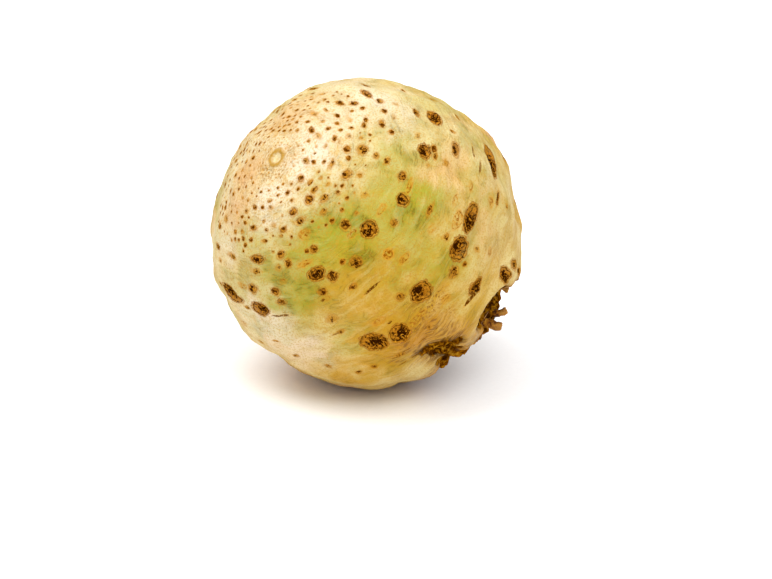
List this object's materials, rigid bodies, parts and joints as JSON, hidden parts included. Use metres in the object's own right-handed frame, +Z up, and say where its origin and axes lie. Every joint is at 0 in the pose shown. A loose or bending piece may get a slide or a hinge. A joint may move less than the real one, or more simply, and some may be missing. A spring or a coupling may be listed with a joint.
{
  "type": "celeriac root",
  "caption": "Round celeriac root with a scarred, waxy skin, a trimmed crown and a knobbly root end, lying tilted on a small flat spot.",
  "frame": {"origin": "middle of the base, on the surface that the root lies on", "axes": "+Z up; -Y toward the front, where the crown and most scars show; +X to the right, where the root end begins"},
  "size_m": [0.1241, 0.1241, 0.123],
  "materials": {
    "skin": "waxy root skin, satin where it is smooth and matt where it is corky"
  },
  "bodies": {
    "root": {"celeriac_root": "skin"}
  },
  "joints": []
}
